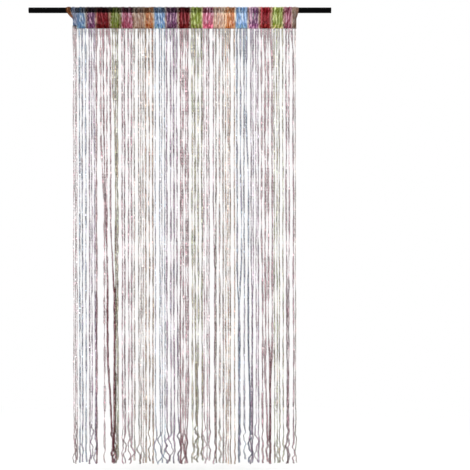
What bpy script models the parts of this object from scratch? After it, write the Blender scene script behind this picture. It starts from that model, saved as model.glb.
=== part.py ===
# Sequin string door curtain on a plain round rod.
#
# The heading is a knitted band folded over the rod and joined below it, which leaves the rod
# pocket. A row of narrow knitted strips, one for each colour, finishes its lower edge, and the
# strands hang from them. The origin is the centre of the rod's left end face. +X runs along the
# rod, +Z is up, and the front of the curtain faces -Y. All sizes are in metres.

import math
import random

import bmesh
import bpy
from mathutils import Matrix

# Rod
ROD_LENGTH = 1.331
ROD_RADIUS = 0.0125
ROD_SIDES = 32
ROD_EDGE = 0.0008

# Heading, as a band of knitted cloth folded over the rod
CURTAIN_START = 0.194         # rod's left end to the left end of the seam
CLOTH_THICKNESS = 0.0016
CLOTH_CLEARANCE = 0.0006      # between the rod and the cloth over it
POCKET_WALL_TOP = -0.004      # the layers leave the rod here and start to close
SEAM_TOP = -0.0555            # lowest point of the hollow between the layers
HEADING_BOTTOM = -0.0617
SEAM_THICKNESS = 0.0036
ARC_STEPS = 8                 # faces over the top of the rod
WALL_STEPS = 6                # faces down each layer
STATION_SPACING = 0.045       # longest stretch of heading between two sections
LEFT_FLARE = 0.033            # how far the ends lean out at the rod
RIGHT_FLARE = 0.009
FLARE_FOOT = -0.042           # height where the flare has run out
FLARE_RUN = 0.046             # and how far above it the flare is full
LAYER_SWELL = 0.0012          # soft waves of the two layers

# Strips that finish the heading's lower edge
PART_GAP = 0.0003             # between neighbouring solids
STRIP_BOTTOM = -0.080
EDGE_STRIP_BOTTOM = -0.071    # the first strip is shorter
STRIP_THICKNESS = 0.0034

# Strands
DROP = 1.995                  # rod's axis to the lowest strand end
STRAND_WIDTH = 0.0040
STRAND_THICKNESS = 0.0016
EDGE_ROOT = 0.0030            # first strand of the close group at the left edge
EDGE_PITCH = 0.0055
EDGE_COUNT = 3
FIRST_ROOT = 0.0285           # first strand of the even row
ROOT_PITCH = 0.01337
ROOT_COUNT = 72
ROOT_JITTER = 0.0012
ROOT_DEPTH = 0.003            # length of a strand that is knitted into its strip
ROOT_CLEAR = 0.0006           # least distance from a strand to its strip's end
LAYER_COUNT = 4               # depths that neighbouring strands settle into
LAYER_SPACING = 0.0042
LAYER_RUN = 0.35              # drop over which a strand moves out to its own depth
LINE_START = 0.0101           # first of the even lines that some strands settle on
LINE_SPACING = 0.03093
LINE_COUNT = 32
LINE_CLEAR = 0.0090           # room that the strands between two lines keep to them
LINE_CLEAR_EDGE = 0.0060      # and in the close group at the left edge
LINE_LEAN = 0.0035            # how far the lines lean to the right over the whole drop
SETTLE_RUN = 0.12             # drop over which a strand leaves the room of its own strip
UPPER_STEPS = 8               # straight upper stretches of a strand
LOWER_STEPS = 10              # short stretches of its curly end
CURLY_LENGTH = 0.15
CURL_BEGIN = (-0.07, 0.04)    # least and most that the curl begins below the usual place
CURL_RUN = 0.08               # drop over which the curl grows
END_RAGGED = 0.008            # how much shorter most strands can be
END_SHORT = 0.030             # and a few of them
SWAY = (0.0003, 0.0012)       # least and most sideways sway, its length, and where it is full
SWAY_LENGTH = (0.50, 0.90)
SWAY_RUN = 0.30
RIPPLE = (0.0001, 0.0005)
RIPPLE_LENGTH = (0.16, 0.26)
RIPPLE_RUN = 0.10
CURL = (0.0009, 0.0089)
CURL_LENGTH = (0.050, 0.140)
SECOND_CURL = (0.4, 2.4)      # smaller wave in the curl: its share and how much faster it turns
SEED = 11

# Colour bands from left to right, with their width at the seam.
BANDS = [
    # node,            colour,   width
    ("strands_edge",     "dusky",  0.0170),
    ("strands_blue_1",   "blue",   0.0405),
    ("strands_purple_1", "purple", 0.0445),
    ("strands_red_1",    "red",    0.0595),
    ("strands_green_1",  "green",  0.0520),
    ("strands_pink_1",   "pink",   0.0545),
    ("strands_beige_1",  "beige",  0.0480),
    ("strands_orange_1", "orange", 0.0405),
    ("strands_blue_2",   "blue",   0.0525),
    ("strands_purple_2", "purple", 0.0520),
    ("strands_red_2",    "red",    0.0570),
    ("strands_green_2",  "green",  0.0505),
    ("strands_pink_2",   "pink",   0.0530),
    ("strands_beige_2",  "beige",  0.0435),
    ("strands_orange_2", "orange", 0.0495),
    ("strands_blue_3",   "blue",   0.0555),
    ("strands_purple_3", "purple", 0.0495),
    ("strands_red_3",    "red",    0.0525),
    ("strands_green_3",  "green",  0.0525),
    ("strands_pink_3",   "pink",   0.0405),
    ("strands_beige_3",  "beige",  0.0190),
]

# Places where strands draw together on their way down: distance from the left edge, heights
# where the pull starts and where it is full, reach to the left and to the right, and share of
# the way they go.
GATHERS = [
    # across, start,  full,   left,   right, pull
    (0.1030, -0.80,  -1.30,  0.016, 0.006, 0.50),
    (0.4620, -0.95,  -1.40,  0.016, 0.016, 0.45),
    (0.4800, -1.70,  -1.93,  0.036, 0.036, 0.45),
    (0.5435, -1.30,  -1.65,  0.016, 0.016, 0.60),
    (0.6260, -0.80,  -1.20,  0.016, 0.010, 0.60),
    (0.9430, -1.05,  -1.40,  0.014, 0.014, 0.60),
]

# Strands that wander by themselves and meet in three dark bunches: number from the left,
# heights where the strand leaves its place and where it arrives, and how far it moves right.
WANDERS = [
    # strand, start, full,  distance
    (10, -0.50, -0.90,  0.0150),
    (11, -0.42, -1.25,  0.0165),
    (11, -1.42, -1.98,  0.0230),
    (12, -1.42, -1.98,  0.0230),
    (13, -0.85, -1.30,  0.0150),
    (14, -0.25, -0.70,  0.0130),
    (14, -1.12, -1.32, -0.0065),
    (55, -1.12, -1.32,  0.0065),
    (56, -0.70, -0.85,  0.0035),
    (56, -1.05, -1.32, -0.0085),
    (58, -0.50, -0.75,  0.0070),
    (58, -1.50, -1.70,  0.0050),
    (59, -1.10, -1.32,  0.0040),
    (60, -1.15, -1.32, -0.0045),
    (60, -1.40, -1.72, -0.0060),
    (63, -0.90, -1.30,  0.0030),
    (64, -1.60, -1.82,  0.0060),
    (65, -1.32, -1.62,  0.0065),
    (66, -1.42, -1.66, -0.0110),
]

# Base colour, roughness and metallic value of each material.
COLOURS = {
    "rod_black": ((0.012, 0.012, 0.013), 0.38, 0.0),
    "dusky":     ((0.42, 0.30, 0.29), 0.55, 0.0),
    "blue":      ((0.17, 0.34, 0.62), 0.50, 0.0),
    "purple":    ((0.25, 0.13, 0.27), 0.50, 0.0),
    "red":       ((0.33, 0.02, 0.03), 0.50, 0.0),
    "green":     ((0.35, 0.38, 0.10), 0.50, 0.0),
    "pink":      ((0.56, 0.18, 0.29), 0.50, 0.0),
    "beige":     ((0.52, 0.37, 0.28), 0.55, 0.0),
    "orange":    ((0.62, 0.24, 0.08), 0.50, 0.0),
}


def smooth_step(value):
    value = min(1.0, max(0.0, value))
    return value * value * (3.0 - 2.0 * value)


def clear_scene():
    for item in list(bpy.data.objects):
        bpy.data.objects.remove(item, do_unlink=True)


def new_collection(name):
    collection = bpy.data.collections.new(name)
    bpy.context.scene.collection.children.link(collection)
    return collection


def make_materials():
    materials = {}
    for name, (colour, roughness, metallic) in COLOURS.items():
        material = bpy.data.materials.new(name)
        material.use_nodes = True
        shader = material.node_tree.nodes["Principled BSDF"]
        shader.inputs["Base Color"].default_value = (*colour, 1.0)
        shader.inputs["Roughness"].default_value = roughness
        shader.inputs["Metallic"].default_value = metallic
        materials[name] = material
    return materials


def add_object(name, mesh_source, collection):
    """Turns a bmesh into a named object in the given collection."""
    mesh = bpy.data.meshes.new(name)
    bmesh.ops.recalc_face_normals(mesh_source, faces=mesh_source.faces)
    mesh_source.to_mesh(mesh)
    mesh_source.free()
    item = bpy.data.objects.new(name, mesh)
    collection.objects.link(item)
    return item


# Rod

def make_rod(collection, materials):
    rod_mesh = bmesh.new()
    bmesh.ops.create_cone(rod_mesh, cap_ends=True, segments=ROD_SIDES, radius1=ROD_RADIUS,
                          radius2=ROD_RADIUS, depth=ROD_LENGTH)
    rod = add_object("rod", rod_mesh, collection)
    rod.data.transform(Matrix.Rotation(math.pi / 2.0, 4, "Y"))
    rod.location = (ROD_LENGTH / 2.0, 0.0, 0.0)
    rod.data.materials.append(materials["rod_black"])
    edge = rod.modifiers.new("edge", "BEVEL")
    edge.width = ROD_EDGE
    edge.segments = 1
    edge.limit_method = "ANGLE"
    edge.angle_limit = math.radians(60.0)
    rod.data.shade_smooth()
    rod.data.set_sharp_from_angle(angle=math.radians(40.0))
    return rod


# Heading

def band_edges():
    """Distances of the bands' borders from the left end of the seam."""
    edges = [0.0]
    for _, _, width in BANDS:
        edges.append(edges[-1] + width)
    return edges


def layer_depth(height):
    """Half the distance between the middles of the two layers at a height below the rod."""
    at_rod = ROD_RADIUS + CLOTH_CLEARANCE + CLOTH_THICKNESS / 2.0
    at_seam = SEAM_THICKNESS / 2.0 - CLOTH_THICKNESS / 2.0
    run = (POCKET_WALL_TOP - height) / (POCKET_WALL_TOP - SEAM_TOP)
    return at_seam + (at_rod - at_seam) * (1.0 - smooth_step(run)) ** 0.85


def section_loops(front_swell, back_swell):
    """Outer and inner outline of one section of the heading, as (y, z) points.

    Both run from the back of the seam up over the rod and down the front.
    """
    inner_radius = ROD_RADIUS + CLOTH_CLEARANCE
    outer_radius = inner_radius + CLOTH_THICKNESS
    seam_half = SEAM_THICKNESS / 2.0
    slit_half = 0.0004
    half = CLOTH_THICKNESS / 2.0
    wall_heights = [POCKET_WALL_TOP + (SEAM_TOP - POCKET_WALL_TOP) * step / WALL_STEPS
                    for step in range(WALL_STEPS)]

    def wall(side, swell, heights):
        outer, inner = [], []
        for height in heights:
            bulge = swell * math.sin(math.pi * (height - POCKET_WALL_TOP) / (SEAM_TOP - POCKET_WALL_TOP))
            middle = layer_depth(height) + bulge
            outer.append((side * (middle + half), height))
            inner.append((side * max(middle - half, slit_half), height))
        return outer, inner

    back_outer, back_inner = wall(1.0, back_swell, reversed(wall_heights))
    front_outer, front_inner = wall(-1.0, front_swell, wall_heights)
    angles = [math.pi * step / ARC_STEPS for step in range(ARC_STEPS + 1)]
    outer = [(seam_half, HEADING_BOTTOM)] + back_outer
    outer += [(outer_radius * math.cos(a), outer_radius * math.sin(a)) for a in angles]
    outer += front_outer + [(-seam_half, HEADING_BOTTOM)]
    inner = [(slit_half, SEAM_TOP)] + back_inner
    inner += [(inner_radius * math.cos(a), inner_radius * math.sin(a)) for a in angles]
    inner += front_inner + [(-slit_half, SEAM_TOP)]
    return outer, inner


def heading_stations():
    """Distances along the seam where the heading has a section: every border and some between."""
    stations = [0.0]
    for low, high in zip(band_edges(), band_edges()[1:]):
        parts = max(1, math.ceil((high - low) / STATION_SPACING))
        stations += [low + (high - low) * part / parts for part in range(1, parts + 1)]
    return stations


def flare_share(height):
    """Share of an end's flare at a height: all of it at the rod, none at its foot."""
    return math.sin(math.pi / 2.0 * min(max((height - FLARE_FOOT) / FLARE_RUN, 0.0), 1.0))


def make_heading(collection, materials):
    rng = random.Random(SEED)
    heading_mesh = bmesh.new()
    stations = heading_stations()
    last = len(stations) - 1
    rings = []
    for index, along in enumerate(stations):
        front_swell = rng.uniform(-LAYER_SWELL, LAYER_SWELL)
        back_swell = rng.uniform(-LAYER_SWELL, LAYER_SWELL)
        outer, inner = section_loops(front_swell, back_swell)
        ring = []
        for y, z in outer + inner:
            x = CURTAIN_START + along
            if index == 0:
                x -= LEFT_FLARE * flare_share(z)
            if index == last:
                x += RIGHT_FLARE * flare_share(z)
            ring.append(heading_mesh.verts.new((x, y, z)))
        rings.append((ring[:len(outer)], ring[len(outer):]))

    colours = [colour for _, colour, _ in BANDS]
    borders = band_edges()
    for index in range(last):
        middle = (stations[index] + stations[index + 1]) / 2.0
        band = max(number for number, edge in enumerate(borders[:-1]) if edge <= middle)
        for skin in (0, 1):
            near, far = rings[index][skin], rings[index + 1][skin]
            count = len(near)
            for point in range(count):
                follow = (point + 1) % count
                face = heading_mesh.faces.new((near[point], near[follow], far[follow], far[point]))
                face.material_index = band
    for outer, inner in (rings[0], rings[-1]):
        count = len(outer)
        for point in range(count):
            follow = (point + 1) % count
            heading_mesh.faces.new((outer[point], outer[follow], inner[follow], inner[point]))

    heading = add_object("heading", heading_mesh, collection)
    for colour in colours:
        heading.data.materials.append(materials[colour])
    return heading


# Strands

def strand_places():
    """Even place of each strand, which settles its colour, and the place where it comes to hang.

    The strand nearest to each line settles on it. The others keep clear of the lines.
    """
    rng = random.Random(SEED)
    evenly = [EDGE_ROOT + EDGE_PITCH * number for number in range(EDGE_COUNT)]
    evenly += [FIRST_ROOT + ROOT_PITCH * number + rng.uniform(-ROOT_JITTER, ROOT_JITTER)
               for number in range(ROOT_COUNT)]
    lines = [LINE_START + LINE_SPACING * number for number in range(LINE_COUNT)]
    on_line = {min(range(len(evenly)), key=lambda number: abs(evenly[number] - line)) for line in lines}
    places = []
    for number, across in enumerate(evenly):
        line = min(lines, key=lambda place: abs(across - place))
        clear = LINE_CLEAR if number >= EDGE_COUNT else LINE_CLEAR_EDGE
        offset = 0.0 if number in on_line else math.copysign(max(abs(across - line), clear), across - line)
        places.append((across, line + offset))
    return places


def strand_rows():
    """One row for each strand: its band's number, its root, end height, depth and waves."""
    rng = random.Random(SEED + 1)
    edges = band_edges()
    rows = []
    for number, (even, place) in enumerate(strand_places()):
        band = max(index for index, edge in enumerate(edges[:-1]) if edge <= even)
        margin = STRAND_WIDTH / 2.0 + ROOT_CLEAR
        rows.append({
            "number": number,
            "band": band,
            "root": min(max(place, edges[band] + margin), edges[band + 1] - margin),
            "settled": place,
            "end": -DROP + END_RAGGED * rng.random() + END_SHORT * rng.random() ** 6,
            "depth": LAYER_SPACING * (number % LAYER_COUNT - (LAYER_COUNT - 1) / 2.0),
            "sway": (rng.uniform(*SWAY), rng.uniform(*SWAY_LENGTH), rng.uniform(0.0, math.tau)),
            "ripple": (rng.uniform(*RIPPLE), rng.uniform(*RIPPLE_LENGTH), rng.uniform(0.0, math.tau)),
            "curl": (CURL[0] + (CURL[1] - CURL[0]) * rng.random() ** 3, rng.uniform(*CURL_LENGTH),
                     rng.uniform(0.0, math.tau)),
            "curl_begin": DROP + STRIP_BOTTOM - CURLY_LENGTH + rng.uniform(*CURL_BEGIN),
        })
    return rows


def strand_point(row, height):
    """Place of a strand's middle at a height, as x and y."""
    below = STRIP_BOTTOM - height
    place = row["settled"]
    across = row["root"] + (place - row["root"]) * smooth_step(below / SETTLE_RUN)
    across += LINE_LEAN * below / DROP
    for centre, start, full, left, right, pull in GATHERS:
        nearness = 1.0 - ((place - centre) / (left if place < centre else right)) ** 2
        if nearness > 0.0:
            drawn = pull * math.sqrt(nearness) * smooth_step((start - height) / (start - full))
            across += (centre - place) * drawn
    for number, start, full, distance in WANDERS:
        if number == row["number"]:
            across += distance * smooth_step((start - height) / (start - full))
    waves = (("sway", 0.0, SWAY_RUN), ("ripple", 0.0, RIPPLE_RUN), ("curl", row["curl_begin"], CURL_RUN))
    share, rate = SECOND_CURL
    for name, begin, run in waves:
        size, length, phase = row[name]
        turn = math.tau * below / length + phase
        wave = math.sin(turn) + (share * math.sin(rate * turn) if name == "curl" else 0.0)
        across += size * smooth_step((below - begin) / run) * wave
    depth = row["depth"] * smooth_step(below / LAYER_RUN)
    return CURTAIN_START + across, depth


def strand_heights(top, end):
    """Heights of a strand's sections, from its root inside the strip to its end."""
    curly_top = end + CURLY_LENGTH
    heights = [top + ROOT_DEPTH, top]
    heights += [top + (curly_top - top) * step / UPPER_STEPS for step in range(1, UPPER_STEPS + 1)]
    heights += [curly_top + (end - curly_top) * step / LOWER_STEPS for step in range(1, LOWER_STEPS + 1)]
    return heights


def add_strand(target, row, top):
    """Adds one flat strand: a box cut into stretches and bent along its path."""
    heights = strand_heights(top, row["end"])
    cuts = len(heights) - 2
    ribbon = bmesh.new()
    bmesh.ops.create_cube(ribbon, size=1.0)
    uprights = [edge for edge in ribbon.edges if abs(edge.verts[0].co.z - edge.verts[1].co.z) > 0.5]
    bmesh.ops.subdivide_edges(ribbon, edges=uprights, cuts=cuts, use_grid_fill=True)
    for vert in ribbon.verts:
        level = round((0.5 - vert.co.z) * (cuts + 1))
        x, y = strand_point(row, heights[level])
        vert.co = (x + vert.co.x * STRAND_WIDTH, y + vert.co.y * STRAND_THICKNESS, heights[level])
    bent = bpy.data.meshes.new("bent_strand")
    ribbon.to_mesh(bent)
    ribbon.free()
    target.from_mesh(bent)
    bpy.data.meshes.remove(bent)


def make_strand_group(number, rows, collection, helpers, materials):
    """One colour: its knitted strip, with its strands joined to the strip's lower edge."""
    name, colour, width = BANDS[number]
    left = CURTAIN_START + band_edges()[number] + PART_GAP / 2.0
    top = HEADING_BOTTOM - PART_GAP
    bottom = EDGE_STRIP_BOTTOM if number == 0 else STRIP_BOTTOM
    size = (width - PART_GAP, STRIP_THICKNESS, top - bottom)
    middle = (left + size[0] / 2.0, 0.0, (top + bottom) / 2.0)

    strip_mesh = bmesh.new()
    place = Matrix.Translation(middle) @ Matrix.Diagonal((*size, 1.0))
    bmesh.ops.create_cube(strip_mesh, size=1.0, matrix=place)
    group = add_object(name, strip_mesh, collection)
    group.data.materials.append(materials[colour])

    strands_mesh = bmesh.new()
    for row in rows:
        add_strand(strands_mesh, row, bottom)
    strands = add_object(name + "_loose", strands_mesh, helpers)
    strands.data.materials.append(materials[colour])
    strands.hide_render = True
    strands.display_type = "WIRE"

    joined = group.modifiers.new("strands", "BOOLEAN")
    joined.operation = "UNION"
    joined.object = strands
    return group


def main():
    clear_scene()
    materials = make_materials()
    parts = new_collection("sequin_string_curtain")
    helpers = new_collection("strands_to_join")
    make_rod(parts, materials)
    make_heading(parts, materials)
    rows = strand_rows()
    for number in range(len(BANDS)):
        group_rows = [row for row in rows if row["band"] == number]
        make_strand_group(number, group_rows, parts, helpers, materials)


main()
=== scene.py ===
import math
import random

import bpy
import numpy as np
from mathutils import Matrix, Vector


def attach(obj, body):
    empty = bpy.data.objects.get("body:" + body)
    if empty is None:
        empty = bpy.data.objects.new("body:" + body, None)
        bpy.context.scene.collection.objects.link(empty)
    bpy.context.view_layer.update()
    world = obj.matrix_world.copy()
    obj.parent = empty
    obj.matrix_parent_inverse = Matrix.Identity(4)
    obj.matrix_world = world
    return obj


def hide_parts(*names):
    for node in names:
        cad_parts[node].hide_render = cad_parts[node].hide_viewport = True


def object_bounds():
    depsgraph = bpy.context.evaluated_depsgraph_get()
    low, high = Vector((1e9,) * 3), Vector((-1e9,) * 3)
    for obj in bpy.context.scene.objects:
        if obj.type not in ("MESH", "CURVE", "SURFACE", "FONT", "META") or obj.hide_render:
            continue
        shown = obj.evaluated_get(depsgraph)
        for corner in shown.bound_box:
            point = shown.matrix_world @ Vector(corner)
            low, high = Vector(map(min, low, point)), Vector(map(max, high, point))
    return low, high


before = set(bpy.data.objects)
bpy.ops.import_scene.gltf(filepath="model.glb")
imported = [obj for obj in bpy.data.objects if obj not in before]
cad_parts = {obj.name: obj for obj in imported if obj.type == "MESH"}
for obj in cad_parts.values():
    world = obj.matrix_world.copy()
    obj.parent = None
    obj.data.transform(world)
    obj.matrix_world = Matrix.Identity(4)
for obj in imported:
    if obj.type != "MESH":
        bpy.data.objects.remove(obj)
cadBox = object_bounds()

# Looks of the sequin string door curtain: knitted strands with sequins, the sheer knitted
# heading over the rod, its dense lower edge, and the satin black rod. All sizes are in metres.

# Where the curtain hangs, and its bands: sizes, colours and seed are those of the CAD part
curtain = {
    "start": 0.194,             # rod's left end to the left end of the seam
    "rodRadius": 0.0125,
    "seed": 11,
    "fineSeed": 100,            # for what varies within each strand
    "borderReach": 0.007,       # how far the yarns of two bands mix on each side of their border
    "bands": [                  # colour, width at the seam, lightness of the heading and of its lower edge,
                                # fullness of the strands, lightness of the heading over the rod
        # the lightness over the rod is painted shade: the share of its lightness that the heading keeps where
        # the black rod lies behind it
        ("dusky", 0.0170, 1.30, 0.48, 0.54, 0.58), ("blue", 0.0405, 0.90, 0.93, 1.02, 0.22),
        ("purple", 0.0445, 1.02, 0.82, 0.96, 0.05), ("red", 0.0595, 0.86, 0.47, 1.28, 0.08),
        ("green", 0.0520, 0.78, 0.58, 1.36, 0.28), ("pink", 0.0545, 0.92, 0.85, 1.18, 0.14),
        ("beige", 0.0480, 0.98, 0.85, 0.86, 0.30), ("orange", 0.0405, 0.98, 0.70, 1.14, 0.38),
        ("blue", 0.0525, 1.15, 0.82, 0.74, 0.36), ("purple", 0.0520, 1.12, 0.46, 1.25, 0.28),
        ("red", 0.0570, 0.80, 0.69, 1.26, 0.31), ("green", 0.0505, 1.36, 0.82, 1.28, 0.56),
        ("pink", 0.0530, 1.42, 1.66, 0.84, 0.36), ("beige", 0.0435, 1.62, 1.28, 1.12, 0.56),
        ("orange", 0.0495, 1.36, 0.96, 0.88, 0.54), ("blue", 0.0555, 1.46, 1.09, 1.22, 0.76),
        ("purple", 0.0495, 1.22, 1.85, 0.92, 0.81), ("red", 0.0525, 1.18, 1.36, 1.42, 1.02),
        ("green", 0.0525, 1.32, 1.26, 0.84, 0.85), ("pink", 0.0405, 0.94, 0.44, 1.12, 0.67),
        ("beige", 0.0190, 0.48, 0.33, 0.66, 1.50),
    ],
}
bandColumns = ("colour", "width", "lightness", "edgeLightness", "fullness", "overRod")
bands = [dict(zip(bandColumns, values)) for values in curtain["bands"]]

# Linear colours, dark and light shade: strands (deep, mostly reached in the painted shade of bunches, dark
# and light), ribs and lower edge of the heading. The gap is the net between the ribs, and cover is how much
# of it is closed.
palette = {
    "dusky":  {"strand": ((0.050, 0.022, 0.016), (0.118, 0.065, 0.058), (0.399, 0.309, 0.303)),
               "sequin": (0.90, 0.75, 0.75),
               "cover": 0.90,
               "rib": ((0.14, 0.19, 0.30), (0.60, 0.59, 0.68)), "gap": (0.13, 0.16, 0.24),
               "edge": ((0.080, 0.090, 0.125), (0.15, 0.18, 0.26))},
    "blue":   {"strand": ((0.030, 0.040, 0.090), (0.058, 0.066, 0.078), (0.201, 0.243, 0.297)),
               "sequin": (0.73, 0.81, 0.94),
               "cover": 0.75,
               "rib": ((0.18, 0.34, 0.62), (0.86, 0.95, 1.00)), "gap": (0.13, 0.23, 0.40),
               "edge": ((0.08, 0.16, 0.29), (0.60, 0.92, 1.00))},
    "purple": {"strand": ((0.045, 0.022, 0.060), (0.085, 0.047, 0.073), (0.260, 0.182, 0.248)),
               "sequin": (0.86, 0.72, 0.85),
               "cover": 0.85,
               "rib": ((0.19, 0.05, 0.155), (0.98, 0.68, 0.84)), "gap": (0.105, 0.035, 0.095),
               "edge": ((0.09, 0.020, 0.055), (0.68, 0.33, 0.54))},
    "red":    {"strand": ((0.100, 0.004, 0.012), (0.110, 0.037, 0.043), (0.327, 0.153, 0.171)),
               "sequin": (0.96, 0.71, 0.73),
               "cover": 1.0,
               "rib": ((0.21, 0.003, 0.008), (0.72, 0.15, 0.17)), "gap": (0.14, 0.002, 0.006),
               "edge": ((0.07, 0.0005, 0.0005), (0.44, 0.05, 0.035))},
    "green":  {"strand": ((0.052, 0.012, 0.012), (0.083, 0.079, 0.023), (0.252, 0.258, 0.120)),
               "sequin": (0.89, 0.88, 0.62),
               "cover": 0.97,
               "rib": ((0.23, 0.31, 0.03), (0.77, 0.82, 0.44)), "gap": (0.15, 0.18, 0.02),
               "edge": ((0.11, 0.12, 0.008), (0.88, 0.72, 0.36))},
    "pink":   {"strand": ((0.045, 0.008, 0.012), (0.107, 0.047, 0.052), (0.379, 0.229, 0.253)),
               "sequin": (0.99, 0.75, 0.79),
               "cover": 0.88,
               "rib": ((0.48, 0.09, 0.155), (1.00, 0.62, 0.78)), "gap": (0.28, 0.055, 0.095),
               "edge": ((0.22, 0.028, 0.045), (1.00, 0.30, 0.46))},
    "beige":  {"strand": ((0.035, 0.018, 0.012), (0.089, 0.061, 0.040), (0.339, 0.273, 0.219)),
               "sequin": (0.96, 0.83, 0.73),
               "cover": 0.80,
               "rib": ((0.50, 0.30, 0.21), (1.00, 0.92, 0.84)), "gap": (0.32, 0.19, 0.14),
               "edge": ((0.22, 0.095, 0.05), (1.00, 0.74, 0.60))},
    "orange": {"strand": ((0.055, 0.018, 0.006), (0.106, 0.055, 0.028), (0.396, 0.246, 0.168)),
               "sequin": (1.00, 0.80, 0.62),
               "cover": 0.97,
               "rib": ((0.60, 0.22, 0.06), (0.98, 0.85, 0.66)), "gap": (0.42, 0.15, 0.06),
               "edge": ((0.36, 0.04, 0.002), (1.00, 0.60, 0.32))},
    "flare":  {"cover": 1.0,
               "rib": ((0.17, 0.045, 0.012), (0.52, 0.27, 0.13)), "gap": (0.16, 0.05, 0.015)},
}


def smoothStep(value):
    value = np.clip(value, 0.0, 1.0)
    return value * value * (3.0 - 2.0 * value)


bandEdges = [0.0]
for band in bands:
    bandEdges.append(bandEdges[-1] + band["width"])
curtainWidth = bandEdges[-1]


def bandAt(across):
    return max(number for number, edge in enumerate(bandEdges[:-1]) if edge <= across or number == 0)


def nearBorder(across):
    # 1 where two bands of the heading meet, 0 away from there
    gaps = np.abs(np.asarray(across)[:, None] - np.array(bandEdges[2:-1])[None, :])
    return np.clip(1.0 - gaps.min(axis=1) / curtain["borderReach"], 0.0, 1.0)


def nodeNames():
    # CAD node of each band: strands_edge, strands_blue_1, strands_purple_1 ...
    names, seen = [], {}
    for band in bands:
        colour = band["colour"]
        seen[colour] = seen.get(colour, 0) + 1
        names.append("strands_edge" if colour == "dusky" else "strands_%s_%d" % (colour, seen[colour]))
    return names


# Node trees

class Signal:
    # a socket that can stand in a sum
    def __init__(self, tree, socket):
        self.tree, self.socket = tree, socket

    def maths(self, operation, first, second):
        return addNode(self.tree, "ShaderNodeMath", {"operation": operation}, {0: first, 1: second})

    def __add__(self, other):
        return self.maths("ADD", self, other)

    def __radd__(self, other):
        return self.maths("ADD", other, self)

    def __sub__(self, other):
        return self.maths("SUBTRACT", self, other)

    def __rsub__(self, other):
        return self.maths("SUBTRACT", other, self)

    def __mul__(self, other):
        return self.maths("MULTIPLY", self, other)

    def __rmul__(self, other):
        return self.maths("MULTIPLY", other, self)


def addNode(tree, kind, settings, sockets, output=0):
    # settings first, then the values or links of the sockets; returns the output as a Signal
    node = tree.nodes.new(kind)
    for setting, value in settings.items():
        if setting == "stops":
            ramp = node.color_ramp
            while len(ramp.elements) < len(value):
                ramp.elements.new(0.5)
            for element, (position, colour) in zip(ramp.elements, value):
                element.position = position
                element.color = (*colour, 1.0)
        else:
            setattr(node, setting, value)
    for socket, value in sockets.items():
        if isinstance(value, Signal):
            tree.links.new(value.socket, node.inputs[socket])
        else:
            if isinstance(value, tuple) and len(value) == 3 and node.inputs[socket].type == "RGBA":
                value = (*value, 1.0)
            node.inputs[socket].default_value = value
    return Signal(tree, node.outputs[output])


def mixColour(tree, share, first, second, blend="MIX"):
    return addNode(tree, "ShaderNodeMix", {"data_type": "RGBA", "blend_type": blend},
                   {0: share, 6: first, 7: second}, output=2)


def newMaterial(name, **constants):
    material = bpy.data.materials.new(name)
    material.use_nodes = True
    tree = material.node_tree
    shader = tree.nodes["Principled BSDF"]
    for socket, value in constants.items():
        shader.inputs[socket.replace("_", " ")].default_value = value
    return material, tree, shader


def feed(tree, signal, shader, socket):
    tree.links.new(signal.socket, shader.inputs[socket])


def feedBump(tree, height, shader, strength, distance):
    bump = addNode(tree, "ShaderNodeBump", {}, {"Strength": strength, "Distance": distance, "Height": height})
    feed(tree, bump, shader, "Normal")


def placeOf(tree, source="Object"):
    # point on the surface: Object in the model's own frame, UV on the flat cloth
    return addNode(tree, "ShaderNodeTexCoord", {}, {}, output=source)


def alongAxis(tree, place, axis):
    return addNode(tree, "ShaderNodeSeparateXYZ", {}, {0: place}, output="XYZ".index(axis))


def spots(tree, stretch, detail=2.0):
    # noise from 0 to 1, as fine along each axis as stretch says, in spots per metre
    place = addNode(tree, "ShaderNodeVectorMath", {"operation": "MULTIPLY"}, {0: placeOf(tree), 1: stretch})
    return addNode(tree, "ShaderNodeTexNoise", {}, {"Vector": place, "Scale": 1.0, "Detail": detail})


def attributeOf(tree, name):
    # tone: shade of a yarn or sequin against its neighbours, from 0 to 1, which on the strands and sequins
    # holds painted shade and highlights too;
    # lightness: of its band, with painted shade over the black rod; border: 1 where two bands meet
    return addNode(tree, "ShaderNodeAttribute", {"attribute_name": name}, {}, output="Fac")


# Mesh building

def makeObject(name, corners, faces, finishes, materials, attributes):
    # one smooth mesh; its materials read the attributes, a value for each corner
    mesh = bpy.data.meshes.new(name)
    mesh.from_pydata(corners.tolist(), [], faces)
    mesh.polygons.foreach_set("material_index", finishes)
    mesh.polygons.foreach_set("use_smooth", [True] * len(faces))
    for label, values in attributes.items():
        layer = mesh.attributes.new(label, "FLOAT", "POINT")
        layer.data.foreach_set("value", np.asarray(values, np.float32))
    for material in materials:
        mesh.materials.append(material)
    mesh.update()
    item = bpy.data.objects.new(name, mesh)
    bpy.context.scene.collection.objects.link(item)
    return item


class Knit:
    # gathers the corners and faces of many yarns until they become one mesh
    def __init__(self):
        self.corners, self.faces, self.finishes, self.count = [], [], [], 0
        self.tones, self.lightnesses, self.lightness = [], [], 1.0

    def add(self, corners, faces, finish, tone, lightness=None):
        self.corners.append(np.asarray(corners, float).reshape(-1, 3))
        self.faces += [[corner + self.count for corner in face] for face in faces]
        self.finishes += [finish] * len(faces)
        size = len(self.corners[-1])
        self.tones.append(np.broadcast_to(np.asarray(tone, float), (size,)))
        self.lightnesses.append(np.broadcast_to(self.lightness if lightness is None else lightness, (size,)))
        self.count += size

    def triangles(self):
        return sum(len(face) - 2 for face in self.faces)

    def toObject(self, name, materials):
        corners = np.concatenate(self.corners)
        return makeObject(name, corners, self.faces, self.finishes, materials, {
            "tone": np.concatenate(self.tones),
            "lightness": np.concatenate(self.lightnesses),
            "border": nearBorder(corners[:, 0] - curtain["start"])})


yarnSides = 3
yarnTips = (0.6, 0.4)           # radius at the first and last point, as shares of the yarn's


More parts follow.
